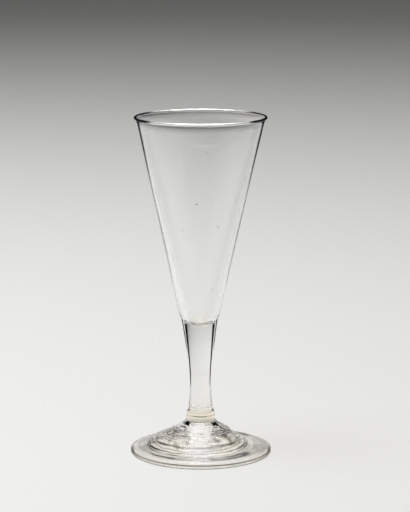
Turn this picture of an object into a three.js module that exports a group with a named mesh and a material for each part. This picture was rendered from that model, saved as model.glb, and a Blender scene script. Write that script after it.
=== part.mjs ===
// Champagne glass, blown and tooled by hand in clear glass: a conical bowl with a rolled rim, a solid waisted
// stem, a ringed collar and a stepped, domed foot with the pontil scar under it.
// Millimetres, +Z up. The origin is on the table, on the axis of the stem.
import * as THREE from 'three';

// Heights along the axis
const footHeight = 17.6;
const collarHeight = 6.8;
const stemHeight = 45.5;
const bowlHeight = 117.1;

// Bowl
const rimRadius = 36.1;
const lipRadius = 0.7;
const wallThickness = 1;
const bottomThickness = 1.6;
const bottomRadius = 11.5;
const innerBottomRadius = 8.2;
const bowlSeatRadius = 4;
const lipNeckDrop = 5;
const coneHalfAngle = THREE.MathUtils.degToRad(12.35);
const innerHalfAngle = THREE.MathUtils.degToRad(14.8);
const lipStartAngle = THREE.MathUtils.degToRad(-70);
const lipTopAngle = THREE.MathUtils.degToRad(40);
const lipEndAngle = THREE.MathUtils.degToRad(140);

// Stem
const cupDepth = 3.8;
const cupRadius = 9.8;
const waistRadius = 5.95;
const waistHeight = 13.6;
const stemEndRadius = 7;
const weldGap = 0.3;
const upperTaperShares = { waist: 0.23, cup: 0.34, narrowing: 0.175 };
const lowerTaperShares = { waist: 0.4, end: 0.32, narrowing: 0.68 };

// Collar
const collarRadius = 8;
const collarTopRadius = 7.1;
const collarSeatRadius = 6.7;
const collarEdgeRadius = 0.35;
const ringGrooveDepth = 0.25;
const collarRingShares = { lowerRing: 0.36, lowerGroove: 0.6, upperRing: 0.72, upperGroove: 0.84 };

// Foot
const footRadius = 39;
const edgeThickness = 2.15;
const edgeRounding = 0.5;
const restInset = 0.8;
const restWidth = 1.8;
const brimRadius = 34.4;
const brimHeight = 4.1;
const ledgeRadius = 27.3;
const ledgeHeight = 5.6;
const ledgeRootHeight = 4.5;
const stepRadius = 23.8;
const stepHeight = 8.4;
const stepRootHeight = 6.8;
const shoulderRadius = 23;
const shoulderHeight = 10.7;
const crownRadius = 12.2;
const crownHeight = 15.3;
const crownRingRadius = 9;
const crownRingHeight = 17;
const crownRingEdge = 0.6;
const crownSweepRadius = 9.6;
const crownSweepHeight = 16.4;

// Hollow under the foot
const hollowCrownHeight = 13.5;
const hollowCrownRadius = 5.6;
const hollowKneeRadius = 23.4;
const hollowKneeHeight = 5.4;
const hollowTurnRadius = 25.2;
const hollowTurnHeight = 3;
const hollowBrimRadius = 29.5;
const hollowBrimHeight = 2.3;
const hollowEdgeRadius = 34;
const hollowEdgeHeight = 1.9;

// Pontil scar
const scarRadius = 4.8;
const scarThickness = 1.1;
const scarRidgeRadius = 3.3;
const scarDimpleDepth = 0.5;
const scarEdgeHeight = 0.4;

// Facets of the turned surfaces
const facetsAround = 60;
const facetTurn = THREE.MathUtils.degToRad(18);
const facetLength = 10;
const turnSamples = 24;

const glassOpacity = 0.4;

function glass(name, color, roughness) {
  return new THREE.MeshStandardMaterial({ name, color, roughness, transparent: true, opacity: glassOpacity });
}

// How far a curve turns in all, both ways added
function totalTurn(curve) {
  let turn = 0;
  for (let sample = 1; sample <= turnSamples; sample += 1) {
    const before = curve.getTangent((sample - 1) / turnSamples);
    turn += before.angleTo(curve.getTangent(sample / turnSamples));
  }
  return turn;
}

// An outline is sampled finely where it bends, and once where it is straight
function sampleOutline(outline) {
  const points = [outline.curves[0].getPoint(0)];
  for (const curve of outline.curves) {
    const curvedSteps = Math.ceil(Math.max(totalTurn(curve) / facetTurn, curve.getLength() / facetLength));
    const steps = curve.isLineCurve ? 1 : curvedSteps;
    for (let step = 1; step <= steps; step += 1) {
      points.push(curve.getPoint(step / steps));
    }
  }
  return points;
}

// Turns an outline of (radius, height) points about the axis, and sets the piece at its height
function turnedPiece(name, outline, height, material) {
  const geometry = new THREE.LatheGeometry(sampleOutline(outline), facetsAround);
  geometry.rotateX(Math.PI / 2);
  const piece = new THREE.Mesh(geometry, material);
  piece.name = name;
  piece.position.z = height;
  return piece;
}

// The corner where the tangents at two points of an outline meet
function tangentCorner(start, startAngle, end, endAngle) {
  const across = end.clone().sub(start);
  const along = new THREE.Vector2(Math.cos(startAngle), Math.sin(startAngle));
  const back = new THREE.Vector2(Math.cos(endAngle), Math.sin(endAngle));
  return start.clone().addScaledVector(along, across.cross(back) / along.cross(back));
}

function curveRound(outline, startAngle, end, endAngle) {
  const corner = tangentCorner(outline.currentPoint, startAngle, end, endAngle);
  outline.quadraticCurveTo(corner.x, corner.y, end.x, end.y);
}

// The round bottom meets the cone where their tangents agree
const bottomCentreHeight = Math.sqrt(bottomRadius ** 2 - bowlSeatRadius ** 2);
const coneAngle = Math.PI / 2 - coneHalfAngle;

function coneRadiusAt(height) {
  const tangentRadius = bottomRadius * Math.cos(coneHalfAngle);
  const tangentHeight = bottomCentreHeight - bottomRadius * Math.sin(coneHalfAngle);
  return tangentRadius + (height - tangentHeight) * Math.tan(coneHalfAngle);
}

// The wall is thin at the rim and thickens downwards, because the inner cone opens wider than the outer one
function makeBowl() {
  const lipCentre = new THREE.Vector2(rimRadius - lipRadius, bowlHeight - lipRadius);
  const lipPoint = (angle) =>
    lipCentre.clone().add(new THREE.Vector2(Math.cos(angle), Math.sin(angle)).multiplyScalar(lipRadius));
  const wallTopHeight = bowlHeight - lipNeckDrop;
  const quarterTurn = Math.PI / 2;

  const ballHeight = bottomThickness + innerBottomRadius;
  const wallTopRadius = coneRadiusAt(wallTopHeight);
  const innerNeck = new THREE.Vector2(wallTopRadius - wallThickness / Math.cos(coneHalfAngle), wallTopHeight);
  const innerFoot = new THREE.Vector2(
    innerBottomRadius * Math.cos(innerHalfAngle),
    ballHeight - innerBottomRadius * Math.sin(innerHalfAngle),
  );

  const outline = new THREE.Path();
  outline.moveTo(0, 0);
  outline.lineTo(bowlSeatRadius, 0);
  const seatAngle = -Math.atan2(bottomCentreHeight, bowlSeatRadius);
  outline.absarc(0, bottomCentreHeight, bottomRadius, seatAngle, -coneHalfAngle, false);
  outline.lineTo(wallTopRadius, wallTopHeight);
  curveRound(outline, coneAngle, lipPoint(lipStartAngle), lipStartAngle + quarterTurn);
  outline.absarc(lipCentre.x, lipCentre.y, lipRadius, lipStartAngle, lipTopAngle, false);
  outline.absarc(lipCentre.x, lipCentre.y, lipRadius, lipTopAngle, lipEndAngle, false);
  curveRound(outline, lipEndAngle + quarterTurn, innerNeck, coneAngle);
  curveRound(outline, coneAngle, innerFoot, quarterTurn - innerHalfAngle);
  outline.absarc(0, ballHeight, innerBottomRadius, -innerHalfAngle, -quarterTurn, true);
  const seatHeight = footHeight + collarHeight + stemHeight;
  return turnedPiece('bowl', outline, seatHeight, glass('bowl glass', 0xeef0ec, 0.03));
}

// The stem ends in a shallow cup whose flat floor carries the bowl's seat, with the weld gap round it
function makeStem() {
  const cupBallRadius = bottomRadius + weldGap;
  const cupCentreHeight = stemHeight + bottomCentreHeight;
  const cupLipHeight = stemHeight + cupDepth;
  const cupLipAngle = -Math.asin((cupCentreHeight - cupLipHeight) / cupBallRadius);
  const cupFloorAngle = -Math.asin(bottomCentreHeight / cupBallRadius);
  const upperLength = cupLipHeight - waistHeight;

  const outline = new THREE.Path();
  outline.moveTo(0, 0);
  outline.lineTo(stemEndRadius, 0);
  outline.bezierCurveTo(
    stemEndRadius - (stemEndRadius - waistRadius) * lowerTaperShares.narrowing,
    waistHeight * lowerTaperShares.end,
    waistRadius,
    waistHeight * (1 - lowerTaperShares.waist),
    waistRadius,
    waistHeight,
  );
  outline.bezierCurveTo(
    waistRadius,
    waistHeight + upperLength * upperTaperShares.waist,
    cupRadius * (1 - upperTaperShares.narrowing),
    cupLipHeight - upperLength * upperTaperShares.cup,
    cupRadius,
    cupLipHeight,
  );
  outline.lineTo(cupBallRadius * Math.cos(cupLipAngle), cupLipHeight);
  outline.absarc(0, cupCentreHeight, cupBallRadius, cupLipAngle, cupFloorAngle, true);
  outline.lineTo(0, stemHeight);
  return turnedPiece('stem', outline, footHeight + collarHeight, glass('stem glass', 0xeceee9, 0.03));
}

// The collar is a button of glass tooled into two soft rings with a groove over each
function makeCollar() {
  const upperRingRadius = (collarRadius + collarTopRadius) / 2;
  const outline = new THREE.Path();
  outline.moveTo(0, 0);
  outline.lineTo(collarSeatRadius, 0);
  const ring = (ringRadius, ringShare, grooveShare) => {
    const start = outline.currentPoint;
    const grooveRadius = ringRadius - ringGrooveDepth;
    const bulgeRadius = 2 * ringRadius - (start.x + grooveRadius) / 2;
    outline.quadraticCurveTo(bulgeRadius, collarHeight * ringShare, grooveRadius, collarHeight * grooveShare);
  };
  ring(collarRadius, collarRingShares.lowerRing, collarRingShares.lowerGroove);
  ring(upperRingRadius, collarRingShares.upperRing, collarRingShares.upperGroove);
  const topBulgeHeight = collarHeight * (1 + collarRingShares.upperGroove) / 2;
  const topEdgeHeight = collarHeight - collarEdgeRadius;
  outline.quadraticCurveTo(collarTopRadius + ringGrooveDepth, topBulgeHeight, collarTopRadius, topEdgeHeight);
  outline.quadraticCurveTo(collarTopRadius, collarHeight, collarTopRadius - collarEdgeRadius, collarHeight);
  outline.lineTo(0, collarHeight);
  return turnedPiece('collar', outline, footHeight, glass('collar glass', 0xe6e0d2, 0.04));
}

// The foot rests on a flat ring at its edge. Its dome rises in two steps from a shallow brim to the ring round
// the collar, and is hollow below
function makeFoot() {
  const restOuter = footRadius - restInset;
  const restInner = restOuter - restWidth;

  const outline = new THREE.Path();
  outline.moveTo(0, hollowCrownHeight);
  outline.lineTo(hollowCrownRadius, hollowCrownHeight);
  outline.quadraticCurveTo(
    (hollowCrownRadius + hollowKneeRadius) / 2,
    hollowCrownHeight,
    hollowKneeRadius,
    hollowKneeHeight,
  );
  outline.quadraticCurveTo(hollowTurnRadius, hollowTurnHeight, hollowBrimRadius, hollowBrimHeight);
  outline.quadraticCurveTo(hollowEdgeRadius, hollowEdgeHeight, restInner, 0);
  outline.lineTo(restOuter, 0);
  outline.quadraticCurveTo(footRadius, 0, footRadius, edgeRounding);
  outline.lineTo(footRadius, edgeThickness - edgeRounding);
  outline.quadraticCurveTo(footRadius, edgeThickness, restOuter, edgeThickness);
  outline.quadraticCurveTo(brimRadius, brimHeight, (brimRadius + ledgeRadius) / 2, brimHeight);
  outline.quadraticCurveTo(ledgeRadius, ledgeRootHeight, ledgeRadius, ledgeHeight);
  outline.quadraticCurveTo(stepRadius, stepRootHeight, stepRadius, stepHeight);
  outline.quadraticCurveTo(shoulderRadius, shoulderHeight, crownRadius, crownHeight);
  outline.quadraticCurveTo(crownSweepRadius, crownSweepHeight, crownRingRadius, crownRingHeight);
  outline.quadraticCurveTo(crownRingRadius, footHeight, crownRingRadius - crownRingEdge, footHeight);
  outline.lineTo(0, footHeight);
  return turnedPiece('foot', outline, 0, glass('foot glass', 0xe9e8e1, 0.04));
}

// The scar that the pontil rod left when it was cracked off: a wafer with a raised ridge and a dimple
function makePontilScar() {
  const outline = new THREE.Path();
  outline.moveTo(0, scarDimpleDepth);
  outline.quadraticCurveTo(scarRidgeRadius / 2, scarDimpleDepth, scarRidgeRadius, 0);
  outline.quadraticCurveTo(scarRadius, 0, scarRadius, scarEdgeHeight);
  outline.lineTo(scarRadius, scarThickness);
  outline.lineTo(0, scarThickness);
  const scarHeight = hollowCrownHeight - scarThickness;
  return turnedPiece('pontil_scar', outline, scarHeight, glass('scar glass', 0xe2e0d8, 0.2));
}

const champagneGlass = new THREE.Group();
champagneGlass.name = 'champagne_glass';
champagneGlass.add(makeBowl(), makeStem(), makeCollar(), makeFoot(), makePontilScar());

export default champagneGlass;
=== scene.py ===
import math

import bpy
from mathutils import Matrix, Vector


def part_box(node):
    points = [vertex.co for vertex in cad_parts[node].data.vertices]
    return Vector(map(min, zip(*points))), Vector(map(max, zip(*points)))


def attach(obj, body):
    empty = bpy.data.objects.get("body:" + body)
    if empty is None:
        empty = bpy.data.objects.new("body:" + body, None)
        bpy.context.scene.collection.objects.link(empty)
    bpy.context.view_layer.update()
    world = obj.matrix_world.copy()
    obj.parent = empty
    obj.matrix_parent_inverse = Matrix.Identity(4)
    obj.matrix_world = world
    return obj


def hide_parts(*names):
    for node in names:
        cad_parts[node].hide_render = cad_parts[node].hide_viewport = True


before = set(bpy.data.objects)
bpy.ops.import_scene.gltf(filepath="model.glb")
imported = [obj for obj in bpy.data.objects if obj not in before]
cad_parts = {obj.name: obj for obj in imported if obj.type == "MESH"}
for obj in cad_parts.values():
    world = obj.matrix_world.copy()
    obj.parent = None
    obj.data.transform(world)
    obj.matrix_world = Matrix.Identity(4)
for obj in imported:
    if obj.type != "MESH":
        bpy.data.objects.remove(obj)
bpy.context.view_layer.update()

# One millimetre in metres
MM = 0.001

# How finely the glass is turned
SEGMENTS = 192
FINE = 24
MEDIUM = 12
FLAT = 4
LONG = 90

# Surfaces of a piece, in the order of its materials
SKIN, WELDED, BEAD, INSIDE = 0, 1, 2, 3


# Measures taken from the solids


def node_heights(node):
    low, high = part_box(node)
    return low.z / MM, high.z / MM


def node_radius(node):
    low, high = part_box(node)
    return (high.x - low.x) / 2 / MM


BOWL_SEAT, RIM_TOP = node_heights("bowl")
STEM_BOTTOM, STEM_CUP_LIP = node_heights("stem")
COLLAR_BOTTOM, COLLAR_TOP = node_heights("collar")
FOOT_TOP = node_heights("foot")[1]
SCAR_BOTTOM, SCAR_TOP = node_heights("pontil_scar")
RIM_RADIUS = node_radius("bowl")
FOOT_RADIUS = node_radius("foot")


# Outlines and turned pieces


class Outline:
    """Points of (radius, height), and the surface of each stretch between two points."""

    def __init__(self, radius, height):
        self.points = [(radius, height)]
        self.surfaces = []

    def follow(self, curve, steps, surface):
        """Adds the points of a curve that runs from 0 to 1."""
        self.points += [curve(step / steps) for step in range(1, steps + 1)]
        self.surfaces += [surface] * steps

    def line(self, radius, height, steps=1, surface=SKIN):
        start = self.points[-1]
        end = (radius, height)
        self.follow(lambda t: tuple(a + (b - a) * t for a, b in zip(start, end)), steps, surface)

    def bend(self, corner, end, steps=MEDIUM, surface=SKIN):
        """A quadratic curve that heads for the corner and ends at the end point."""
        start = self.points[-1]

        def curve(t):
            u = 1 - t
            return tuple(u ** 2 * a + 2 * t * u * b + t * t * c for a, b, c in zip(start, corner, end))

        self.follow(curve, steps, surface)

    def sweep(self, first, second, end, steps=FINE, surface=SKIN):
        """A cubic curve with two control points."""
        start = self.points[-1]

        def curve(t):
            u = 1 - t
            return tuple(
                u ** 3 * a + 3 * u * u * t * b + 3 * u * t * t * c + t ** 3 * d
                for a, b, c, d in zip(start, first, second, end)
            )

        self.follow(curve, steps, surface)

    def arc(self, centre, radius, start, end, surface=SKIN):
        """An arc between two angles in degrees, measured from the outward direction."""

        def curve(t):
            angle = math.radians(start + (end - start) * t)
            return centre[0] + radius * math.cos(angle), centre[1] + radius * math.sin(angle)

        self.follow(curve, FINE, surface)


def offset(point, by):
    return point[0] + by[0], point[1] + by[1]


# How far the blown axis strays sideways at each height, all of it in the plane of the picture
LEAN = ((0, 0), (8, 0), (18, -0.1), (45, -0.3), (85, -0.7), (120, -0.5), (187, -0.1))


def smooth(t):
    return t * t * (3 - 2 * t)


def lean_at(height):
    for (low, start), (high, end) in zip(LEAN, LEAN[1:]):
        if height <= high:
            return start + (end - start) * smooth(max(height - low, 0) / (high - low))
    return LEAN[-1][1]


# Ripples left by the tools: a main wave, and a second one that is longer and keeps them uneven
MAIN_WAVE = 0.65
SECOND_WAVE = 0.35
SECOND_RATE = 0.43


def ripple(outline, first, depth, waves, phase):
    """Turns the points since the first one into a rippled surface, calm at both ends."""
    points = outline.points
    last = len(points) - 1
    moved = []
    for index in range(first + 1, last):
        t = (index - first) / (last - first)
        before, after = points[index - 1], points[index + 1]
        across = after[0] - before[0], after[1] - before[1]
        length = math.hypot(*across)
        turn = 2 * math.pi * waves
        main = MAIN_WAVE * math.sin(turn * t + phase)
        second = SECOND_WAVE * math.sin(turn * SECOND_RATE * t + 2 * phase)
        rise = depth * math.sin(math.pi * t) * (main + second)
        radius, height = points[index]
        moved.append((radius + rise * across[1] / length, height - rise * across[0] / length))
    points[first + 1:last] = moved


def closed_skin(rings, start, end):
    """Vertices and faces of a closed skin over rings of equal length, with a pole at each end."""
    sides = len(rings[0])
    vertices = [vertex for ring in rings for vertex in ring]
    first_pole = len(vertices)
    vertices += [start, end]
    faces = []
    for low in range(0, first_pole - sides, sides):
        high = low + sides
        for side in range(sides):
            after = (side + 1) % sides
            faces.append((low + side, low + after, high + after, high + side))
    last = first_pole - sides
    for side in range(sides):
        after = (side + 1) % sides
        faces.append((first_pole, after, side))
        faces.append((first_pole + 1, last + side, last + after))
    return vertices, faces


def add_object(name, data):
    thing = bpy.data.objects.new(name, data)
    bpy.context.scene.collection.objects.link(thing)
    return thing


def mark_weld_edges(mesh):
    """The edge between outer skin and weld face stays sharp, so that each is shaded by itself."""
    surface_of = {}
    for polygon in mesh.polygons:
        for key in polygon.edge_keys:
            surface_of.setdefault(key, set()).add(polygon.material_index)
    for edge in mesh.edges:
        surfaces = surface_of[tuple(sorted(edge.vertices))]
        edge.use_edge_sharp = len(surfaces) > 1 and WELDED in surfaces


def smooth_object(name, vertices, faces, surfaces, materials):
    mesh = bpy.data.meshes.new(name)
    mesh.from_pydata([[c * MM for c in vertex] for vertex in vertices], [], faces)
    for material in materials:
        mesh.materials.append(material)
    for polygon, surface in zip(mesh.polygons, surfaces):
        polygon.material_index = surface
        polygon.use_smooth = True
    mark_weld_edges(mesh)
    mesh.validate()
    return add_object(name, mesh)


def as_turned(x, y, z):
    return x, y, z


def turned(name, outline, materials, shape=as_turned):
    """Turns an outline that starts and ends on the axis into a closed, smooth mesh, bent along the lean."""

    def placed(radius, angle, height):
        x, y, z = shape(radius * math.cos(angle), radius * math.sin(angle), height)
        return x + lean_at(z), y, z

    angles = [2 * math.pi * step / SEGMENTS for step in range(SEGMENTS)]
    rings = [[placed(radius, angle, height) for angle in angles] for radius, height in outline.points[1:-1]]
    start = placed(0, 0, outline.points[0][1])
    end = placed(0, 0, outline.points[-1][1])
    vertices, faces = closed_skin(rings, start, end)
    surfaces = []
    for surface in outline.surfaces[1:-1]:
        surfaces += [surface] * SEGMENTS
    surfaces += [outline.surfaces[0], outline.surfaces[-1]] * SEGMENTS
    piece = smooth_object(name, vertices, faces, surfaces, materials)
    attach(piece, "root")
    return piece


# Nodes of the materials


def new_material(name):
    material = bpy.data.materials.new(name)
    material.use_nodes = True
    tree = material.node_tree
    tree.nodes.clear()
    return material, tree


def add_node(tree, kind, inputs=None, **settings):
    node = tree.nodes.new(kind)
    for key, value in settings.items():
        setattr(node, key, value)
    for key, value in (inputs or {}).items():
        if isinstance(value, bpy.types.NodeSocket):
            tree.links.new(value, node.inputs[key])
        else:
            node.inputs[key].default_value = value
    return node


def show(tree, surface, output="ShaderNodeOutputMaterial"):
    add_node(tree, output, {"Surface": surface})


def add_ramp(tree, value, stops):
    """A colour ramp with (position, grey or colour) stops."""
    node = add_node(tree, "ShaderNodeValToRGB", {0: value})
    ramp = node.color_ramp
    while len(ramp.elements) < len(stops):
        ramp.elements.new(0.5)
    for element, (position, colour) in zip(ramp.elements, stops):
        element.position = position
        element.color = (*colour, 1) if isinstance(colour, tuple) else (colour, colour, colour, 1)
    return node.outputs[0]


def window(tree, value, start, full, leave, end, beyond=0):
    """0 up to the start, 1 from full to leave, and the level beyond from the end on."""
    return add_ramp(tree, value, ((0, 0), (start, 0), (full, 1), (leave, 1), (end, beyond), (1, beyond)))


def fade(tree, value, low, high, at_low=0, at_high=1):
    return add_node(tree, "ShaderNodeMapRange", {
        "Value": value, "From Min": low, "From Max": high, "To Min": at_low, "To Max": at_high,
    }).outputs[0]


def fade_mm(tree, value, low, high, at_low=0, at_high=1):
    """A fade over a length, between two places in millimetres."""
    return fade(tree, value, low * MM, high * MM, at_low, at_high)


def calculate(tree, operation, first, second=0):
    return add_node(tree, "ShaderNodeMath", {0: first, 1: second}, operation=operation).outputs[0]


def product(tree, first, *others):
    for other in others:
        first = calculate(tree, "MULTIPLY", first, other)
    return first


def vector_math(tree, operation, first, second=(0, 0, 0)):
    return add_node(tree, "ShaderNodeVectorMath", {0: first, 1: second}, operation=operation).outputs[0]


def axis_of(tree, vector, axis):
    return add_node(tree, "ShaderNodeSeparateXYZ", {0: vector}).outputs[axis]


def noise(tree, place, scale, detail):
    inputs = {"Vector": place, "Scale": scale, "Detail": detail}
    return add_node(tree, "ShaderNodeTexNoise", inputs).outputs[0]


# Sockets of the colour side of a Mix node
MIX_SHARE, MIX_FIRST, MIX_SECOND, MIXED = 0, 6, 7, 2


def mix_colours(tree, share, first, second, how="MIX"):
    inputs = {MIX_SHARE: share, MIX_FIRST: first, MIX_SECOND: second}
    return add_node(tree, "ShaderNodeMix", inputs, data_type="RGBA", blend_type=how).outputs[MIXED]


# Measures on the glass, in metres from its axis and from the table, or from 0 to 1 by the turn to the eye
EVEN_BLEND = 0.5
NOISE_LOW = 0.3
NOISE_HIGH = 0.7


def height_of(tree, place):
    return axis_of(tree, place, "Z")


def flat_place(tree, place):
    return vector_math(tree, "MULTIPLY", place, (1, 1, 0))


def reach_of(tree, place):
    """How far a point lies from the axis."""
    flat = flat_place(tree, place)
    return add_node(tree, "ShaderNodeVectorMath", {0: flat}, operation="LENGTH").outputs["Value"]


def facing_eye(tree):
    """0 where the skin faces the eye, to 1 on the outline."""
    return add_node(tree, "ShaderNodeLayerWeight", {"Blend": EVEN_BLEND}).outputs["Facing"]


def facing_along(tree, direction):
    """0 where the direction points to the eye, to 1 where it lies across."""
    inputs = {"Blend": EVEN_BLEND, "Normal": direction}
    return add_node(tree, "ShaderNodeLayerWeight", inputs).outputs["Facing"]


def facing_across(tree, place):
    """0 where the skin is turned to the eye about the axis, to 1 at the sides. It follows the camera."""
    return facing_along(tree, vector_math(tree, "NORMALIZE", flat_place(tree, place)))


def off_middle(tree, place):
    """How far a point lies to the left or right of the axis, as the eye sees it. It follows the camera."""
    sideways = vector_math(tree, "CROSS_PRODUCT", (0, 0, 1), flat_place(tree, place))
    facing = facing_along(tree, vector_math(tree, "NORMALIZE", sideways))
    return product(tree, calculate(tree, "SUBTRACT", 1, facing), reach_of(tree, place))


def ring_streaks(tree, place, scale, turn_share):
    """Noise drawn out into arcs round the axis, mirrored front to back so that it has no seam."""
    axes = add_node(tree, "ShaderNodeSeparateXYZ", {0: place})
    angle = calculate(tree, "ARCTAN2", axes.outputs["Y"], axes.outputs["X"])
    along = product(tree, calculate(tree, "ABSOLUTE", angle), turn_share)
    rings = add_node(tree, "ShaderNodeCombineXYZ", {0: reach_of(tree, place), 1: along}).outputs[0]
    return noise(tree, rings, scale, detail=3)


def lines_mask(tree, value, centres, width, wobble=0):
    """1 on thin lines at the given values, which wobble by a noise."""
    moved = calculate(tree, "ADD", value, wobble)
    mask = None
    for centre in centres:
        off = calculate(tree, "ABSOLUTE", calculate(tree, "SUBTRACT", moved, centre * MM))
        line = fade_mm(tree, off, 0, width, 1, 0)
        mask = line if mask is None else calculate(tree, "MAXIMUM", mask, line)
    return mask


def firm_line(tree, value, centre, width, soft, level, wobble=0):
    """A line with one level in its core, and with soft edges."""
    return fade(tree, lines_mask(tree, value, (centre,), width, wobble), 0, soft, 0, level)


def wobbling(tree, place, scale, depth):
    waves = noise(tree, place, scale, detail=1)
    return fade(tree, waves, NOISE_LOW, NOISE_HIGH, -depth * MM, depth * MM)


# Coats painted over the glass, where real glass would gather a dark room, a lamp or what lies behind it
ROOM_DARK = (0.006, 0.006, 0.007, 1)
HIGHLIGHT = (1, 0.985, 0.965, 1)
WHITE = (1, 1, 1, 1)
SHEEN_ROUGHNESS = 0.4


def coated(tree, skin, share, coat):
    return add_node(tree, "ShaderNodeMixShader", {0: share, 1: skin, 2: coat.outputs[0]}).outputs[0]


# Paints shade: a dark diffuse coat over the glass
def dark_where(tree, skin, share):
    return coated(tree, skin, share, add_node(tree, "ShaderNodeBsdfDiffuse", {"Color": ROOM_DARK}))


# Paints a highlight: a pale diffuse coat over the glass
def bright_where(tree, skin, share):
    return coated(tree, skin, share, add_node(tree, "ShaderNodeBsdfDiffuse", {"Color": HIGHLIGHT}))


# Paints a sheen: a rough glossy coat over the glass, which mirrors the room
def sheen_where(tree, skin, share, colour=HIGHLIGHT):
    sheen = add_node(tree, "ShaderNodeBsdfGlossy", {"Color": colour, "Roughness": SHEEN_ROUGHNESS})
    return coated(tree, skin, share, sheen)


def clear_where(tree, skin, share, colour):
    return coated(tree, skin, share, add_node(tree, "ShaderNodeBsdfTransparent", {"Color": colour}))


# Glass
GLASS_IOR = 1.5
SHADOW_PASS = (0.97, 0.965, 0.955, 1)
FAINT_DEPTH = 0.02


def ripples(scale, drawn=(1, 1, 1)):
    """A relief of even ripples, stretched by drawn."""

    def relief(tree, place):
        return noise(tree, vector_math(tree, "MULTIPLY", place, drawn), scale, detail=2)

    return relief


def glass_material(name, colour, relief, depth=FAINT_DEPTH, roughness=0, tint_and_shade=None, coats=()):
    """Clear glass with a relief of the given depth, a tint that on the bowl's inside and the foot also holds
    painted shade, and coats from the lowest up.
    """
    material, tree = new_material(name)
    place = add_node(tree, "ShaderNodeTexCoord").outputs["Object"]
    bump = add_node(tree, "ShaderNodeBump", {
        "Height": relief(tree, place), "Strength": 1, "Distance": depth * MM,
    })
    glass = add_node(tree, "ShaderNodeBsdfPrincipled", {
        "Base Color": tint_and_shade(tree, place, colour) if tint_and_shade else colour,
        "Roughness": roughness,
        "IOR": GLASS_IOR,
        "Transmission Weight": 1,
        "Normal": bump.outputs[0],
    })
    skin = glass.outputs[0]
    for coat in coats:
        skin = coat(tree, place, skin)
    path = add_node(tree, "ShaderNodeLightPath")
    through = add_node(tree, "ShaderNodeBsdfTransparent", {"Color": SHADOW_PASS})
    show(tree, coated(tree, skin, path.outputs["Is Shadow Ray"], through))
    return material


def weld_material():
    """Light passes straight from one piece of the fused glass into the next."""
    material, tree = new_material("weld")
    show(tree, add_node(tree, "ShaderNodeBsdfTransparent", {"Color": WHITE}).outputs[0])
    return material


WELD = weld_material()

# Below, a fade is from, to, level before and level after, and a line is place, width, softness and level


# Bowl
BOTTOM_RADIUS = 11.5
CONE_ANGLE = 12.35
INNER_ANGLE = 14.8
WALL = 1
BOTTOM_THICKNESS = 1.6
INNER_BOTTOM_RADIUS = 8.2
INNER_CONE_START = 10
LIP_RADIUS = 0.68
LIP_NECK_DROP = 5
LIP_ARC = (-50, 170)
SEAT_RADIUS = 4
CUP_RADIUS = 10.3
CUP_ANGLE = -math.degrees(math.acos(CUP_RADIUS / BOTTOM_RADIUS))
STRAIGHT_DOWN = -90
BALL_HEIGHT = BOWL_SEAT + math.sqrt(BOTTOM_RADIUS ** 2 - SEAT_RADIUS ** 2)
BALL = (0, BALL_HEIGHT)

# Corners that its bends head for: over the neck outside and inside, and in the rounded bottom
FLARE_OUTSIDE = (0.75, 3.3)
FLARE_INSIDE = (0.85, 3.4)
INNER_PULL = 35
BOTTOM_CORNER = (1.4, 3.4)
BOTTOM_SIDE = (4.3, 1.6)
BOTTOM_MIDDLE = 2.6

# Waves of the blown bowl, an oval and a five-lobed one: their depth at the wave radius, turn and height
WAVE_RADIUS = 36
CALM_HEIGHT = 82
CALM_FADE = 30
OVAL_DEPTH = 0.16
OVAL_TURN = 0.8
OVAL_HEIGHT = 23
LOBE_DEPTH = 0.07
LOBES = 5
LOBE_HEIGHT = 9

# Glass of the bowl
CLEAR = (0.978, 0.98, 0.98, 1)
RIM_CLEAR = (0.985, 0.985, 0.98, 1)
# Colour of the painted shade in the middle of the bowl
BOWL_MIDDLE_SHADE = (0.925, 0.93, 0.935, 1)
CAVITY = (0.93, 0.91, 0.86, 1)
BLOWN_SCALE = 60
DRAWN_UP = (0.4, 0.4, 1.6)
BOWL_OUTLINE = ((0, 0), (0.74, 0), (0.8, 0.95), (1, 1))
BOWL_OUTLINE_HEIGHTS = (80, 180)
BOWL_OUTLINE_FADE = ((0, 0.1), (0.4, 0.2), (0.63, 0.28), (0.8, 0.8), (0.92, 1), (1, 1))
MIDDLE_TURN = (0.045, 0.085, 1, 0)
MIDDLE_HEIGHTS = (110, 150)
INNER_OUTLINE = ((0, 0), (0.86, 0), (0.94, 0.6), (1, 0.6))
INNER_OUTLINE_FADE = (85, 155, 0.45, 1)
NECK_GLEAM = (RIM_TOP - 6, RIM_TOP - 4, 0, 0.25)
CAVITY_LENS = (BOWL_SEAT + 5.2, BOWL_SEAT + 6.1, 0.75, 0)
RIM_GLEAM = ((0, 0.9), (0.3, 0.9), (0.42, 0), (1, 0))
RIM_ENDS = ((0, 0), (0.34, 0), (0.44, 0.95), (1, 1))
RIM_BEAD = (RIM_TOP - 1.3, RIM_TOP - 0.9)


def bowl_painted_shade(tree, place, colour):
    """The middle of the bowl has painted shade, a painted reflection of the dark room: it is a little darker,
    most of all near the rim.
    """
    middle = fade(tree, facing_across(tree, place), *MIDDLE_TURN)
    high = fade_mm(tree, height_of(tree, place), *MIDDLE_HEIGHTS)
    return mix_colours(tree, product(tree, middle, high), colour, BOWL_MIDDLE_SHADE)


def bowl_edge(tree, place, skin):
    """The outline of the cone is painted dark with painted shade, and paler towards the stem."""
    share = add_ramp(tree, facing_eye(tree), BOWL_OUTLINE)
    climb = fade_mm(tree, height_of(tree, place), *BOWL_OUTLINE_HEIGHTS)
    return dark_where(tree, skin, product(tree, share, add_ramp(tree, climb, BOWL_OUTLINE_FADE)))


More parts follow.
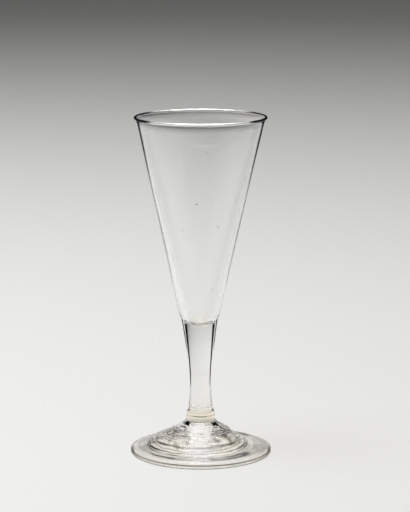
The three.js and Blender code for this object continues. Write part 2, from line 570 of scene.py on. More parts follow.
def inner_edge(tree, place, skin):
    """The outline of the inside is a fainter line of painted shade, its neck has a painted highlight, and its
    bottom is a shallow lens that lets the light straight through with a beige tint.
    """
    height = height_of(tree, place)
    share = add_ramp(tree, facing_eye(tree), INNER_OUTLINE)
    skin = dark_where(tree, skin, product(tree, share, fade_mm(tree, height, *INNER_OUTLINE_FADE)))
    skin = bright_where(tree, skin, fade_mm(tree, height, *NECK_GLEAM))
    return clear_where(tree, skin, fade_mm(tree, height, *CAVITY_LENS), CAVITY)


def rim_shine(tree, place, skin):
    """The rolled rim is painted dark at its ends with painted shade, and has a painted white sheen in front
    and behind.
    """
    across = facing_across(tree, place)
    skin = sheen_where(tree, skin, add_ramp(tree, across, RIM_GLEAM))
    bead = fade_mm(tree, height_of(tree, place), *RIM_BEAD)
    return dark_where(tree, skin, product(tree, add_ramp(tree, across, RIM_ENDS), bead))


BLOWN_RIPPLES = ripples(BLOWN_SCALE, DRAWN_UP)
BOWL_GLASS = glass_material("bowl_glass", CLEAR, BLOWN_RIPPLES, coats=[bowl_edge])
INNER_GLASS = glass_material("bowl_inside", CLEAR, BLOWN_RIPPLES, tint_and_shade=bowl_painted_shade, coats=[inner_edge])
RIM_GLASS = glass_material("rim_glass", RIM_CLEAR, ripples(BLOWN_SCALE), coats=[rim_shine])


def ball_height_at(radius):
    return BALL_HEIGHT - math.sqrt(BOTTOM_RADIUS ** 2 - radius ** 2)


def cone_radius_at(height):
    slope = math.radians(CONE_ANGLE)
    start = BALL_HEIGHT - BOTTOM_RADIUS * math.sin(slope)
    return BOTTOM_RADIUS * math.cos(slope) + (height - start) * math.tan(slope)


def out_of_round(x, y, z):
    """The slight waves of a bowl that was blown and turned by hand, fading out towards the stem."""
    calm = min(max((z - CALM_HEIGHT) / CALM_FADE, 0), 1)
    angle = math.atan2(y, x)
    oval = OVAL_DEPTH * math.sin(2 * angle + OVAL_TURN) * math.sin(z / OVAL_HEIGHT)
    lobes = LOBE_DEPTH * math.sin(LOBES * angle + z / LOBE_HEIGHT)
    swell = 1 + calm * (oval + lobes) / WAVE_RADIUS
    return x * swell, y * swell, z


def make_bowl():
    neck_height = RIM_TOP - LIP_NECK_DROP
    neck = cone_radius_at(neck_height)
    inner_neck = neck - WALL / math.cos(math.radians(CONE_ANGLE))
    lip = (RIM_RADIUS - LIP_RADIUS, RIM_TOP - LIP_RADIUS)
    lip_start = math.radians(LIP_ARC[0])
    lip_foot = (lip[0] + LIP_RADIUS * math.cos(lip_start), lip[1] + LIP_RADIUS * math.sin(lip_start))
    bottom = BOWL_SEAT + BOTTOM_THICKNESS
    inner_slope = math.radians(INNER_ANGLE)
    inner_start = (INNER_BOTTOM_RADIUS * math.cos(inner_slope), BOWL_SEAT + INNER_CONE_START)
    under_neck = (inner_neck - INNER_PULL * math.tan(math.radians(CONE_ANGLE)), neck_height - INNER_PULL)
    over_bottom = (inner_start[0] + INNER_PULL * math.tan(inner_slope), inner_start[1] + INNER_PULL)
    outline = Outline(0, BALL_HEIGHT - BOTTOM_RADIUS)
    outline.arc(BALL, BOTTOM_RADIUS, STRAIGHT_DOWN, CUP_ANGLE, WELDED)
    outline.arc(BALL, BOTTOM_RADIUS, CUP_ANGLE, -CONE_ANGLE)
    outline.line(neck, neck_height, LONG)
    outline.bend(offset((neck, neck_height), FLARE_OUTSIDE), lip_foot, FINE)
    outline.arc(lip, LIP_RADIUS, *LIP_ARC, BEAD)
    outline.bend(offset((inner_neck, neck_height), FLARE_INSIDE), (inner_neck, neck_height), FINE, INSIDE)
    outline.sweep(under_neck, over_bottom, inner_start, LONG, INSIDE)
    bottom_corner = (inner_start[0] - BOTTOM_CORNER[0], bottom + BOTTOM_CORNER[1])
    outline.bend(bottom_corner, offset((0, bottom), BOTTOM_SIDE), FINE, INSIDE)
    outline.bend((BOTTOM_MIDDLE, bottom), (0, bottom), FINE, INSIDE)
    materials = [BOWL_GLASS, WELD, RIM_GLASS, INNER_GLASS]
    piece = turned("bowl_glass", outline, materials, out_of_round)
    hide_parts("bowl")


# Seeds, the air bubbles in the wall of the bowl: degrees from the left, height, radius, and how drawn out
SEEDS = (
    (86, 142.7, 0.34, 1.3), (116.7, 129.4, 0.24, 1.6), (119, 93.7, 0.22, 1.5), (72, 168, 0.16, 2.2),
    (48, 112, 0.18, 1.8), (152, 155, 0.17, 2), (205, 138, 0.25, 1.6), (238, 104, 0.2, 1.7),
    (262, 163, 0.18, 2), (301, 121, 0.24, 1.5), (333, 148, 0.2, 2.1), (14, 90, 0.17, 1.4),
)
LEFT = 180
SEED_RINGS = 9
SEED_SIDES = 16
# Grey that paints shade into the seeds
SEED_GREY = (0.25, 0.25, 0.25, 1)
SEED_ROUGHNESS = 0.05
HALF_WALL_AT_RIM = 0.55
HALF_WALL_GAIN = 1.1


def wall_middle_at(height):
    share = (RIM_TOP - height) / (RIM_TOP - BOWL_SEAT)
    return cone_radius_at(height) - HALF_WALL_AT_RIM - HALF_WALL_GAIN * share


def seed_material():
    """Air inside glass bends light the other way, and the grey colour adds painted shade that darkens the
    seeds.
    """
    material, tree = new_material("seed")
    air = {"Color": SEED_GREY, "Roughness": SEED_ROUGHNESS, "IOR": 1 / GLASS_IOR}
    show(tree, add_node(tree, "ShaderNodeBsdfGlass", air).outputs[0])
    return material


def seed_skin(turn, height, radius, drawn):
    angle = math.radians(LEFT + turn)
    middle = wall_middle_at(height)
    x = middle * math.cos(angle) + lean_at(height)
    y = middle * math.sin(angle)
    rings = []
    for ring in range(1, SEED_RINGS):
        tilt = math.pi * ring / SEED_RINGS
        girth = radius * math.sin(tilt)
        arounds = [2 * math.pi * side / SEED_SIDES for side in range(SEED_SIDES)]
        ring_height = height - radius * drawn * math.cos(tilt)
        rings.append([(x + girth * math.cos(a), y + girth * math.sin(a), ring_height) for a in arounds])
    return closed_skin(rings, (x, y, height - radius * drawn), (x, y, height + radius * drawn))


def make_seeds():
    vertices = []
    faces = []
    for seed in SEEDS:
        seed_vertices, seed_faces = seed_skin(*seed)
        faces += [[len(vertices) + corner for corner in face] for face in seed_faces]
        vertices += seed_vertices
    seeds = smooth_object("bowl_seeds", vertices, faces, [SKIN] * len(faces), [seed_material()])
    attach(seeds, "root")


# Stem
WAIST_RADIUS = 5.95
WAIST_HEIGHT = 38
STEM_END_RADIUS = 7
STEM_CUP_RADIUS = 9.62
CUP_LIP_DROP = 0.4
CUP_CORNER = (0.13, 1.1)
CREASE = 0.3
CREASE_TAPER = 0.02
CREASE_STEPS = 6
UPPER_STEPS = 60

# Pulls of the two curves that meet in the waist, as shares of their lengths
END_PULL_IN = 0.68
END_PULL_UP = 0.32
WAIST_PULL_DOWN = 0.4
WAIST_PULL_UP = 0.23
CUP_PULL_IN = 0.825
CUP_PULL_DOWN = 0.34

# Glass of the stem
STEM_CLEAR = (0.985, 0.985, 0.975, 1)
STEM_LOW = (0.958, 0.953, 0.93, 1)
STEM_SCALE = 90
STEM_DARKER_BELOW = (40, 62, 1, 0)
STEM_LINE_INSET = (WAIST_HEIGHT, STEM_CUP_LIP - 1.7, 0.13, 0)
STEM_LINE_TURN = (0.37, 0.385, 0.52, 0.54)
STEM_OUTSIDE_LINES = ((0, 0), (0.53, 0), (0.56, 0.85), (1, 0.85))
STEM_OUTLINE = ((0, 0), (0.66, 0), (0.7, 0.8), (1, 0.8))
STEM_OUTLINE_HEIGHTS = (56, 64)
ABOVE_WAIST = (WAIST_HEIGHT - 1.5, WAIST_HEIGHT + 1, 0.25, 1)
BELOW_CUP = (STEM_CUP_LIP - 0.8, STEM_CUP_LIP - 0.2, 1, 0)


def stem_tint(tree, place, colour):
    """The glass is darker and warmer towards the foot."""
    return mix_colours(tree, fade_mm(tree, height_of(tree, place), *STEM_DARKER_BELOW), colour, STEM_LOW)


def stem_lines(tree, place, skin):
    """Two painted dark lines of shade run down the stem and close in on its outline at the waist, and its
    outline is painted dark too. Outside the lines it lets the light straight through.
    """
    height = height_of(tree, place)
    turn = calculate(tree, "SUBTRACT", facing_eye(tree), fade_mm(tree, height, *STEM_LINE_INSET))
    above_waist = fade_mm(tree, height, *ABOVE_WAIST)
    below_cup = fade_mm(tree, height, *BELOW_CUP)
    outside = product(tree, add_ramp(tree, turn, STEM_OUTSIDE_LINES), above_waist)
    skin = clear_where(tree, skin, outside, WHITE)
    skin = dark_where(tree, skin, product(tree, window(tree, turn, *STEM_LINE_TURN), above_waist, below_cup))
    outline = add_ramp(tree, facing_eye(tree), STEM_OUTLINE)
    return dark_where(tree, skin, product(tree, outline, fade_mm(tree, height, *STEM_OUTLINE_HEIGHTS)))


STEM_GLASS = glass_material("stem_glass", STEM_CLEAR, ripples(STEM_SCALE), tint_and_shade=stem_tint, coats=[stem_lines])


def make_stem():
    lip_height = STEM_CUP_LIP - CUP_LIP_DROP
    upper = lip_height - WAIST_HEIGHT
    lower = WAIST_HEIGHT - STEM_BOTTOM
    outline = Outline(0, STEM_BOTTOM)
    outline.line(STEM_END_RADIUS - CREASE, STEM_BOTTOM, FLAT, WELDED)
    crease_end = (STEM_END_RADIUS - CREASE_TAPER, STEM_BOTTOM + CREASE)
    outline.bend((STEM_END_RADIUS, STEM_BOTTOM), crease_end, CREASE_STEPS)
    outline.sweep(
        (STEM_END_RADIUS - (STEM_END_RADIUS - WAIST_RADIUS) * END_PULL_IN, STEM_BOTTOM + lower * END_PULL_UP),
        (WAIST_RADIUS, WAIST_HEIGHT - lower * WAIST_PULL_DOWN),
        (WAIST_RADIUS, WAIST_HEIGHT),
    )
    outline.sweep(
        (WAIST_RADIUS, WAIST_HEIGHT + upper * WAIST_PULL_UP),
        (STEM_CUP_RADIUS * CUP_PULL_IN, lip_height - upper * CUP_PULL_DOWN),
        (STEM_CUP_RADIUS, lip_height),
        UPPER_STEPS,
    )
    outline.bend(offset((STEM_CUP_RADIUS, lip_height), CUP_CORNER), (CUP_RADIUS, ball_height_at(CUP_RADIUS)))
    outline.arc(BALL, BOTTOM_RADIUS, CUP_ANGLE, STRAIGHT_DOWN, WELDED)
    piece = turned("stem_glass", outline, [STEM_GLASS, WELD])
    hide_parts("stem")


# Collar, with the corner and the end of each soft ring above its bottom
COLLAR_SEAT_RADIUS = 7.4
COLLAR_RINGS = (((7.9, 0.7), (7.97, 2.4)), ((8.1, 3.3), (7.8, 4.1)), ((7.95, 4.9), (7.5, 5.7)))
COLLAR_NECK_CORNER = (7.2, 6.1)
COLLAR_NECK_RADIUS = 7
COLLAR_TOP_CORNER = 6.95
COLLAR_ROUNDING = 0.2

# Glass of the collar
STRAW = (0.968, 0.92, 0.83, 1)
STRAW_GLOSS = (0.95, 0.9, 0.8, 1)
BROWN = (0.72, 0.58, 0.45, 1)
COLLAR_SCALE = 300
COLLAR_DEPTH = 0.05
COLLAR_BROWN_LINES = (COLLAR_BOTTOM + 3.7, COLLAR_BOTTOM + 5.8)
COLLAR_BROWN_WIDTH = 0.28
COLLAR_BROWN_WOBBLE = (160, 0.45)
ROOT_BEHIND = (COLLAR_BOTTOM + 1, COLLAR_BOTTOM + 1.6, 0.8, 0)
ROOT_IN_FRONT = (COLLAR_BOTTOM + 2, COLLAR_BOTTOM + 2.6, 0.8, 0)
COLLAR_TOP_LINE = (COLLAR_TOP - COLLAR_ROUNDING, 0.5, 0.4, 0.9)
COLLAR_TOP_ENDS = (0.5, 0.56, 0.75, 0.82)


def collar_tint(tree, place, colour):
    """Straw glass with two wavy brown lines that run round it."""
    wobble = wobbling(tree, place, *COLLAR_BROWN_WOBBLE)
    mask = lines_mask(tree, height_of(tree, place), COLLAR_BROWN_LINES, COLLAR_BROWN_WIDTH, wobble)
    return mix_colours(tree, mask, colour, BROWN)


def collar_shine(tree, place, skin):
    """The root of the collar has a painted sheen in front, a rough gloss that mirrors the pale floor, and
    lets the light straight out behind. The top has two painted dark corners of shade."""
    height = height_of(tree, place)
    inside = add_node(tree, "ShaderNodeNewGeometry").outputs["Backfacing"]
    outside = calculate(tree, "SUBTRACT", 1, inside)
    skin = clear_where(tree, skin, product(tree, inside, fade_mm(tree, height, *ROOT_BEHIND)), STRAW)
    root = product(tree, outside, fade_mm(tree, height, *ROOT_IN_FRONT))
    skin = sheen_where(tree, skin, root, STRAW_GLOSS)
    ends = window(tree, facing_across(tree, place), *COLLAR_TOP_ENDS)
    return dark_where(tree, skin, product(tree, firm_line(tree, height, *COLLAR_TOP_LINE), ends))


COLLAR_GLASS = glass_material(
    "collar_glass", STRAW, ripples(COLLAR_SCALE), COLLAR_DEPTH, tint_and_shade=collar_tint, coats=[collar_shine],
)


def make_collar():
    bottom = (0, COLLAR_BOTTOM)
    outline = Outline(*bottom)
    outline.line(COLLAR_SEAT_RADIUS, COLLAR_BOTTOM, FLAT, WELDED)
    for corner, end in COLLAR_RINGS:
        outline.bend(offset(bottom, corner), offset(bottom, end))
    outline.bend(offset(bottom, COLLAR_NECK_CORNER), (COLLAR_NECK_RADIUS, COLLAR_TOP - COLLAR_ROUNDING))
    outline.bend((COLLAR_TOP_CORNER, COLLAR_TOP), (STEM_END_RADIUS - CREASE, COLLAR_TOP), FLAT)
    outline.line(0, COLLAR_TOP, FLAT, WELDED)
    piece = turned("collar_glass", outline, [COLLAR_GLASS, WELD])
    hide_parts("collar")


# Foot, whose steps were tooled with their centre a little to the left of the axis
STEP_STRAY = 1.9
STEP_RADIUS = 23.8
LEDGE_RADIUS = 27.1
SCAR_RADIUS = 4.8

# Colours of the foot: its own tint, and the colours of its painted shade, painted reflections and painted
# highlights
FOOT_TINT = (0.98, 0.965, 0.94, 1)
DOME_DARK = (0.36, 0.32, 0.27)
DOME_MIDDLE = (0.9, 0.865, 0.815)
DOME_LIGHT = (1.0, 0.985, 0.955)
BRIM_DARK = (0.42, 0.41, 0.39)
BRIM_MIDDLE = (0.93, 0.925, 0.91)
BRIM_LIGHT = (0.98, 0.97, 0.95)
BROWN_DARK = (0.42, 0.33, 0.26, 1)
EDGE_CREAM = (0.985, 0.98, 0.965, 1)
EDGE_LINE = (0.33, 0.3, 0.27, 1)

# Noises on the foot: scale, and how fast each changes round the axis
DOME_SHADE_NOISE = (560, 0.007)
GREY_RING = (210, 0.0055)
TOOLING = (440, 0.007)
SPARKLE = (700, 0.004)
CROWN_LIGHT_SHADE_NOISE = (900, 0.006)
BRIM_SHADE_NOISE = (500, 0.0038)

# Tint, painted shade and relief of the foot
FOOT_DEPTH = 0.5
DOME_SHADE_STOPS = ((0.39, DOME_DARK), (0.47, DOME_MIDDLE), (0.55, DOME_LIGHT))
DOME_SHADE_REACH = (22.5, 24.5, 1, 0.22)
GREY_STOPS = ((0.4, BRIM_DARK), (0.48, BRIM_MIDDLE), (0.56, BRIM_LIGHT))
GREY_SPAN = (25, 39)
GREY_BAND = ((0, 0), (0.3, 1), (0.66, 1), (0.76, 0), (1, 0))
GREY_BEHIND = (0.8, 0.93, 1, 0.25)
GREY_FRONT = (0.15, 0.5, 1, 0.35)
STEP_ROOT_SHADE_LINES = (STEP_RADIUS + 0.1, LEDGE_RADIUS + 0.2)
STEP_ROOT_SHADE_WIDTH = 0.5
STEP_ROOT_SHADE_WOBBLE = (90, 0.6)
TOOLING_REACH = (22, 25, 1, 0.35)


def from_step_centre(tree, place):
    return vector_math(tree, "ADD", place, (STEP_STRAY * MM, 0, 0))


def foot_tint_and_shade(tree, place, colour):
    """The dome is painted with a mottle of painted reflections and shade, the brim with a grey ring of
    painted shade inside its pale edge, and the roots of the steps have painted dark lines of shade."""
    step_reach = reach_of(tree, from_step_centre(tree, place))
    dome_shade = add_ramp(tree, ring_streaks(tree, place, *DOME_SHADE_NOISE), DOME_SHADE_STOPS)
    shaded_dome = mix_colours(tree, fade_mm(tree, step_reach, *DOME_SHADE_REACH), colour, dome_shade)
    grey = add_ramp(tree, ring_streaks(tree, place, *GREY_RING), GREY_STOPS)
    ring = add_ramp(tree, fade_mm(tree, reach_of(tree, place), *GREY_SPAN), GREY_BAND)
    behind = fade(tree, facing_eye(tree), *GREY_BEHIND)
    front = fade(tree, facing_across(tree, place), *GREY_FRONT)
    shown = mix_colours(tree, product(tree, ring, behind, front), WHITE, grey)
    ringed = mix_colours(tree, 1, shaded_dome, shown, "MULTIPLY")
    wobble = wobbling(tree, place, *STEP_ROOT_SHADE_WOBBLE)
    lines = lines_mask(tree, step_reach, STEP_ROOT_SHADE_LINES, STEP_ROOT_SHADE_WIDTH, wobble)
    return mix_colours(tree, lines, ringed, BROWN_DARK)


def foot_relief(tree, place):
    streaks = ring_streaks(tree, place, *TOOLING)
    return product(tree, streaks, fade_mm(tree, reach_of(tree, place), *TOOLING_REACH))


# Light painted in the middle of the foot, wider on the riser of the lower step
COLUMN = (3, 6, 1, 0)
COLUMN_SPREAD = 5
RISER_HEIGHT = 6.7
RISER_SPAN = 1.8
SPARKLE_FADE = (0.38, 0.5, 0, 0.92)


def foot_lamp(tree, place, skin):
    riser = lines_mask(tree, height_of(tree, place), (RISER_HEIGHT,), RISER_SPAN)
    aside = calculate(tree, "SUBTRACT", off_middle(tree, place), product(tree, riser, COLUMN_SPREAD * MM))
    sparkle = fade(tree, ring_streaks(tree, place, *SPARKLE), *SPARKLE_FADE)
    return bright_where(tree, skin, product(tree, fade_mm(tree, aside, *COLUMN), sparkle))


# Painted highlights and painted shade round the crown of the foot
CROWN_HIGHLIGHT_HEIGHTS = (FOOT_TOP - 4.4, FOOT_TOP - 3)
MARK_HEIGHTS = (FOOT_TOP - 3, FOOT_TOP - 2.4)
CROWN_LINE = (FOOT_TOP - 0.85, 0.8, 0.15, 1)
CROWN_WOBBLE = (260, 0.25)
CROWN_ENDS = (0.27, 0.31, 0.62, 0.7, 0.3)
CROWN_HIGHLIGHT_FADE = (0.44, 0.5, 0, 0.6)
CROWN_SHADE_FADE = (0.43, 0.48, 0.9, 0)


def crown_marks(tree, place, skin):
    """The crown has painted highlights and painted dark marks of shade, and the ring round the collar has
    painted dark ends.
    """
    height = height_of(tree, place)
    crown_noise = ring_streaks(tree, place, *CROWN_LIGHT_SHADE_NOISE)
    bright = product(tree, fade_mm(tree, height, *CROWN_HIGHLIGHT_HEIGHTS), fade(tree, crown_noise, *CROWN_HIGHLIGHT_FADE))
    skin = bright_where(tree, skin, bright)
    blobs = firm_line(tree, height, *CROWN_LINE, wobbling(tree, place, *CROWN_WOBBLE))
    marks = product(tree, fade(tree, crown_noise, *CROWN_SHADE_FADE), fade_mm(tree, height, *MARK_HEIGHTS))
    ends = window(tree, facing_across(tree, place), *CROWN_ENDS)
    return dark_where(tree, skin, product(tree, ends, calculate(tree, "MAXIMUM", blobs, marks)))


# Painted dark lines of shade at the roots of the steps
STEP_LINE = (STEP_RADIUS, 0.45, 0.5, 0.25)
STEP_WOBBLE = (80, 0.4)
STEP_ENDS = (0.07, 0.14, 0.6, 0.75)
LEDGE_LINE = (LEDGE_RADIUS, 0.35, 0.4, 0.9)
LEDGE_WOBBLE = (60, 0.4)
LEDGE_ENDS = (0.4, 0.52, 0.7, 0.8)


def step_lines(tree, place, skin):
    step_reach = reach_of(tree, from_step_centre(tree, place))
    across = facing_across(tree, place)
    step = firm_line(tree, step_reach, *STEP_LINE, wobbling(tree, place, *STEP_WOBBLE))
    skin = dark_where(tree, skin, product(tree, step, window(tree, across, *STEP_ENDS)))
    ledge = firm_line(tree, step_reach, *LEDGE_LINE, wobbling(tree, place, *LEDGE_WOBBLE))
    return dark_where(tree, skin, product(tree, ledge, window(tree, across, *LEDGE_ENDS)))


# Painted dark streaks and a dark line of shade on the brim
BRIM_SPAN = (26, 39)
BRIM_BAND = (0.18, 0.26, 0.64, 0.72)
BRIM_TOP = (2.5, 2.9)
BRIM_BEHIND = (0.8, 0.93, 1, 0.1)
BRIM_QUARTERS = ((0, 0.35), (0.08, 0.35), (0.15, 1), (0.42, 1), (0.55, 0.35), (1, 0.25))
BRIM_SHADE_FADE = (0.42, 0.54, 0.75, 0.08)
BRIM_SHADE_LINE = (FOOT_RADIUS - 5.6, 1, 0.6, 0.8)
BRIM_SHADE_WOBBLE = (70, 0.6)
BRIM_SHADE_QUARTERS = ((0, 0.1), (0.08, 0.1), (0.16, 1), (0.4, 1), (0.5, 0.1), (1, 0))


def brim_streaks(tree, place, skin):
    """The painted streaks and line of shade are darkest halfway between the middle and the sides."""
    reach = reach_of(tree, place)
    across = facing_across(tree, place)
    brim = product(
        tree,
        window(tree, fade_mm(tree, reach, *BRIM_SPAN), *BRIM_BAND),
        fade_mm(tree, height_of(tree, place), *BRIM_TOP),
        fade(tree, facing_eye(tree), *BRIM_BEHIND),
    )
    streak_shade = fade(tree, ring_streaks(tree, place, *BRIM_SHADE_NOISE), *BRIM_SHADE_FADE)
    streak_shade = product(tree, add_ramp(tree, across, BRIM_QUARTERS), streak_shade)
    shade_line = firm_line(tree, reach, *BRIM_SHADE_LINE, wobbling(tree, place, *BRIM_SHADE_WOBBLE))
    shade_line = product(tree, shade_line, add_ramp(tree, across, BRIM_SHADE_QUARTERS))
    return dark_where(tree, skin, product(tree, brim, calculate(tree, "MAXIMUM", streak_shade, shade_line)))


# Shade on the right of the brim
DUSK_TURN = (0.45, 0.7)
DUSK_REACH = (31, 35, 0, 0.28)
DUSK_RIGHT = (-10, 10)
DUSK_BEHIND = (0.8, 0.9, 1, 0)
DUSK_TOP = (2.3, 2.5)


def brim_dusk(tree, place, skin):
    dusk = product(
        tree,
        fade(tree, facing_across(tree, place), *DUSK_TURN),
        fade_mm(tree, reach_of(tree, place), *DUSK_REACH),
        fade_mm(tree, axis_of(tree, place, "X"), *DUSK_RIGHT),
        fade(tree, facing_eye(tree), *DUSK_BEHIND),
        fade_mm(tree, height_of(tree, place), *DUSK_TOP),
    )
    return dark_where(tree, skin, dusk)


# Gleam on the front of the brim
GLEAM_LINE = (FOOT_RADIUS - 2.8, 1.4, 0.5, 0.7)
GLEAM_TOP = (2.4, 2.6)
GLEAM_TURN = (0.07, 0.2, 1, 0)
GLEAM_BEHIND = (0.8, 0.93, 1, 0)


def brim_gleam(tree, place, skin):
    gleam = product(
        tree,
        firm_line(tree, reach_of(tree, place), *GLEAM_LINE),
        fade_mm(tree, height_of(tree, place), *GLEAM_TOP),
        fade(tree, facing_across(tree, place), *GLEAM_TURN),
        fade(tree, facing_eye(tree), *GLEAM_BEHIND),
    )
    return bright_where(tree, skin, gleam)


# Edge of the foot
EDGE_REACH = (FOOT_RADIUS - 2.3, FOOT_RADIUS - 1.7)
UNDER_REACH = (26, 28)
UNDER_HEIGHT = (2.3, 2.45, 1, 0)
EDGE_CLEARNESS = 0.8
EDGE_LINES = (0, 2)
EDGE_LINE_WIDTH = 0.34
EDGE_LINE_SOFT = (0, 0.4)
EDGE_LINE_TURN = (0.1, 0.4, 1, 0.85)


def foot_edge(tree, place, skin):
    """The thick edge lets the light straight through as a pale band, between two painted dark lines of shade.
    It is clear above, and below where the light leaves it."""
    height = height_of(tree, place)
    reach = reach_of(tree, place)
    edge = fade_mm(tree, reach, *EDGE_REACH)
    under = product(tree, fade_mm(tree, reach, *UNDER_REACH), fade_mm(tree, height, *UNDER_HEIGHT))
    band = product(tree, calculate(tree, "MAXIMUM", edge, under), EDGE_CLEARNESS)
    skin = clear_where(tree, skin, band, EDGE_CREAM)
    lines = fade(tree, lines_mask(tree, height, EDGE_LINES, EDGE_LINE_WIDTH), *EDGE_LINE_SOFT)
    turn = fade(tree, facing_across(tree, place), *EDGE_LINE_TURN)
    return clear_where(tree, skin, product(tree, lines, turn, edge), EDGE_LINE)


FOOT_GLASS = glass_material(
    "foot_glass", FOOT_TINT, foot_relief, FOOT_DEPTH, tint_and_shade=foot_tint_and_shade,
    coats=[foot_lamp, crown_marks, step_lines, brim_streaks, brim_dusk, brim_gleam, foot_edge],
)


# How the stray of the steps comes and goes with the reach from the axis
STRAY_START = 14
STRAY_RISE = 9
STRAY_END = 35
STRAY_FALL = 7

# Bends of the foot: the corner that each heads for, its end, and the number of its steps
HOLLOW_ROOF_RADIUS = 5.6
HOLLOW_DOME = ((14.9, SCAR_TOP), (23.4, 5.4), 48)
HOLLOW_STEP = ((25.2, 3), (29.5, 2.3), 24)
HOLLOW_BRIM = ((34.9, 2), (37.1, 0), 24)
REST_RADIUS = 38
EDGE_BELOW = ((FOOT_RADIUS, 0), (FOOT_RADIUS, 0.9), 10)
EDGE_HEIGHT = 1.5
EDGE_ABOVE = ((FOOT_RADIUS, 2.1), (38.3, 2.2), 8)
BRIM_RISE = ((34.4, 3.9), (30.5, 4.1), 60)
LEDGE_RISE = ((27.3, 4.5), (LEDGE_RADIUS, 5.6), 12)
STEP_RISE = ((STEP_RADIUS, 6.8), (STEP_RADIUS, 8.1), 16)
STEP_ROUNDING = ((23.7, 8.4), (23.3, 8.5), 6)
DOME_RISE = ((20.6, 9), (18, 11.8), (12.2, 15), 110)
CROWN_RISE = ((9.7, 16.1), (9.1, 16.9), 10)
CROWN_ROUNDING = ((8.9, FOOT_TOP), (8.4, FOOT_TOP), 8)
COLLAR_GROOVE = ((7.8, FOOT_TOP - 0.3), (COLLAR_SEAT_RADIUS, FOOT_TOP), 8)

# Ripples of the foot: depth, number of waves, and where they start
BRIM_RIPPLES = (0.05, 4.5, 1)
DOME_RIPPLES = (0.09, 8.5, 2)


def strayed(x, y, z):
    reach = math.hypot(x, y)
    coming = max((reach - STRAY_START) / STRAY_RISE, 0)
    going = max((STRAY_END - reach) / STRAY_FALL, 0)
    return x - STEP_STRAY * smooth(min(coming, going, 1)), y, z


def draw_hollow(outline):
    outline.line(SCAR_RADIUS, SCAR_TOP, FLAT, WELDED)
    outline.line(HOLLOW_ROOF_RADIUS, SCAR_TOP)
    outline.bend(*HOLLOW_DOME)
    outline.bend(*HOLLOW_STEP)
    outline.bend(*HOLLOW_BRIM)


def draw_edge(outline):
    outline.line(REST_RADIUS, 0, steps=2)
    outline.bend(*EDGE_BELOW)
    outline.line(FOOT_RADIUS, EDGE_HEIGHT, steps=3)
    outline.bend(*EDGE_ABOVE)


def draw_brim_and_steps(outline):
    brim = len(outline.points) - 1
    outline.bend(*BRIM_RISE)
    ripple(outline, brim, *BRIM_RIPPLES)
    outline.bend(*LEDGE_RISE)
    outline.bend(*STEP_RISE)
    outline.bend(*STEP_ROUNDING)


def draw_dome_and_crown(outline):
    dome = len(outline.points) - 1
    outline.sweep(*DOME_RISE)
    ripple(outline, dome, *DOME_RIPPLES)
    outline.bend(*CROWN_RISE)
    outline.bend(*CROWN_ROUNDING)
    outline.bend(*COLLAR_GROOVE)
    outline.line(0, FOOT_TOP, FLAT, WELDED)


def make_foot():
    outline = Outline(0, SCAR_TOP)
    draw_hollow(outline)
    draw_edge(outline)
    draw_brim_and_steps(outline)
    draw_dome_and_crown(outline)
    piece = turned("foot_glass", outline, [FOOT_GLASS, WELD], strayed)
    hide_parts("foot")


# Pontil scar
SCAR_CLOUDY = (0.95, 0.94, 0.92, 1)
SCAR_SCALE = 900
SCAR_DEPTH = 0.2
SCAR_ROUGHNESS = 0.2
SCAR_HOLLOW = 0.5
SCAR_HOLLOW_RADIUS = 3.3
SCAR_EDGE = 0.4
SCAR_GLASS = glass_material("scar_glass", SCAR_CLOUDY, ripples(SCAR_SCALE), SCAR_DEPTH, SCAR_ROUGHNESS)


def make_scar():
    outline = Outline(0, SCAR_BOTTOM + SCAR_HOLLOW)
    outline.bend((SCAR_HOLLOW_RADIUS / 2, SCAR_BOTTOM + SCAR_HOLLOW), (SCAR_HOLLOW_RADIUS, SCAR_BOTTOM))
    outline.bend((SCAR_RADIUS, SCAR_BOTTOM), (SCAR_RADIUS, SCAR_BOTTOM + SCAR_EDGE))
    outline.line(SCAR_RADIUS, SCAR_TOP)
    outline.line(0, SCAR_TOP, FLAT, WELDED)
    piece = turned("pontil_scar_glass", outline, [SCAR_GLASS, WELD])
    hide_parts("pontil_scar")


# Floor, in metres from here on: it glows more and more with its distance, until it meets the room
FLOOR_RADIUS = 8
FLOOR_SIDES = 96
FLOOR_DROP = 0.00002
FLOOR_COLOUR = (0.92, 0.918, 0.9, 1)
FLOOR_GLOW = (3.3, 7, 0.008, 0.095)


def floor_material():
    material, tree = new_material("floor")
    paper = add_node(tree, "ShaderNodeBsdfDiffuse", {"Color": FLOOR_COLOUR})
    path = add_node(tree, "ShaderNodeLightPath")
    seen = calculate(tree, "MAXIMUM", path.outputs["Is Camera Ray"], path.outputs["Is Glossy Ray"])
    seen = calculate(tree, "MAXIMUM", seen, path.outputs["Is Transmission Ray"])
    place = add_node(tree, "ShaderNodeTexCoord").outputs["Object"]
    lift = product(tree, seen, fade(tree, reach_of(tree, place), *FLOOR_GLOW))
    glow = add_node(tree, "ShaderNodeEmission", {"Color": FLOOR_COLOUR, "Strength": lift})
    show(tree, add_node(tree, "ShaderNodeAddShader", {0: paper.outputs[0], 1: glow.outputs[0]}).outputs[0])
    return material


def make_floor():
    turns = [2 * math.pi * side / FLOOR_SIDES for side in range(FLOOR_SIDES)]
    ring = [(FLOOR_RADIUS * math.cos(turn), FLOOR_RADIUS * math.sin(turn), 0) for turn in turns]
    mesh = bpy.data.meshes.new("floor")
    mesh.from_pydata(ring, [], [tuple(range(FLOOR_SIDES))])
    mesh.materials.append(floor_material())
    floor = add_object("floor", mesh)
    floor.location.z = -FLOOR_DROP


# Lamp
LAMP_PLACE = (-0.8, -0.16, 2.42)
LAMP_TARGET = (0, 0, 0.05)
LAMP_SIZE = 1.4
LAMP_POWER = 64.4


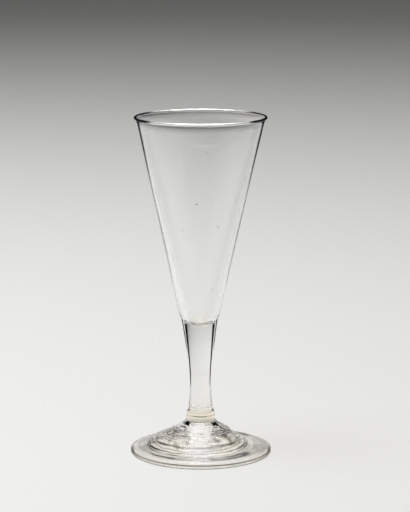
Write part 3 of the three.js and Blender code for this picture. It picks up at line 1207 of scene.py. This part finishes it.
def make_lamp():
    light = bpy.data.lights.new("overhead", "AREA")
    light.shape = "DISK"
    light.size = LAMP_SIZE
    light.energy = LAMP_POWER
    lamp = add_object("overhead", light)
    lamp.location = LAMP_PLACE
    lamp.rotation_euler = (Vector(LAMP_TARGET) - lamp.location).to_track_quat("-Z", "Y").to_euler()
    lamp.visible_camera = False
    lamp.visible_glossy = False
    lamp.visible_transmission = False


# Room, by the height of a direction from 0 on the horizon to 1 overhead: a dark gap between white reflectors
ROOM_SEEN = 0.1
ROOM_FILL = 0.02
ROOM_MIRRORED = (
    (0, 0.1), (0.06, 0.1), (0.09, 0.68), (0.25, 0.68), (0.292, 0.024), (0.62, 0.024), (0.7, 0.96), (1, 0.96),
)

# A lamp overhead, which shows in what the outside of the glass mirrors and more weakly through the glass
LAMP_MIRRORED = ((0, 0), (0.94, 0), (0.97, 1), (1, 1))
LAMP_GAIN = 12
LAMP_THROUGH = 0.45


def make_world():
    world = bpy.data.worlds.new("room")
    bpy.context.scene.world = world
    world.use_nodes = True
    tree = world.node_tree
    tree.nodes.clear()
    direction = add_node(tree, "ShaderNodeTexCoord").outputs["Generated"]
    height = axis_of(tree, direction, "Z")
    path = add_node(tree, "ShaderNodeLightPath")
    glossy = path.outputs["Is Glossy Ray"]
    mirrored = calculate(tree, "MAXIMUM", glossy, path.outputs["Is Transmission Ray"])
    gain = fade(tree, glossy, 0, 1, LAMP_GAIN * LAMP_THROUGH, LAMP_GAIN)
    lamp = product(tree, add_ramp(tree, height, LAMP_MIRRORED), gain)
    room = calculate(tree, "ADD", add_ramp(tree, height, ROOM_MIRRORED), lamp)
    plain = fade(tree, path.outputs["Is Camera Ray"], 0, 1, ROOM_FILL, ROOM_SEEN)
    strength = fade(tree, mirrored, 0, 1, plain, room)
    background = add_node(tree, "ShaderNodeBackground", {"Color": WHITE, "Strength": strength})
    show(tree, background.outputs[0], "ShaderNodeOutputWorld")


# Camera, fitted to the ellipses of the rim and the foot
CAMERA_PLACE = (0, -1.1519, 0.3213)
DEGREES_DOWN = 10.39
DEGREES_RIGHT = 0.115
SENSOR_WIDTH = 36
LENS = 150.38
CLIP_END = 100


def make_camera():
    data = bpy.data.cameras.new("camera")
    data.sensor_width = SENSOR_WIDTH
    data.lens = LENS
    data.clip_end = CLIP_END
    camera = add_object("camera", data)
    camera.location = CAMERA_PLACE
    camera.rotation_euler = (math.radians(90 - DEGREES_DOWN), 0, math.radians(-DEGREES_RIGHT))
    bpy.context.scene.camera = camera


# How often light may pass or mirror through the many walls of glass
GLASS_BOUNCES = 24
MIRROR_BOUNCES = 12
CLEAR_BOUNCES = 32


def set_light_paths():
    cycles = bpy.context.scene.cycles
    cycles.caustics_reflective = False
    cycles.caustics_refractive = False
    cycles.max_bounces = GLASS_BOUNCES
    cycles.transmission_bounces = GLASS_BOUNCES
    cycles.glossy_bounces = MIRROR_BOUNCES
    cycles.transparent_max_bounces = CLEAR_BOUNCES


make_bowl()
make_seeds()
make_stem()
make_collar()
make_foot()
make_scar()
make_floor()
make_lamp()
make_world()
make_camera()
set_light_paths()
bpy.context.scene.view_settings.view_transform = "Standard"
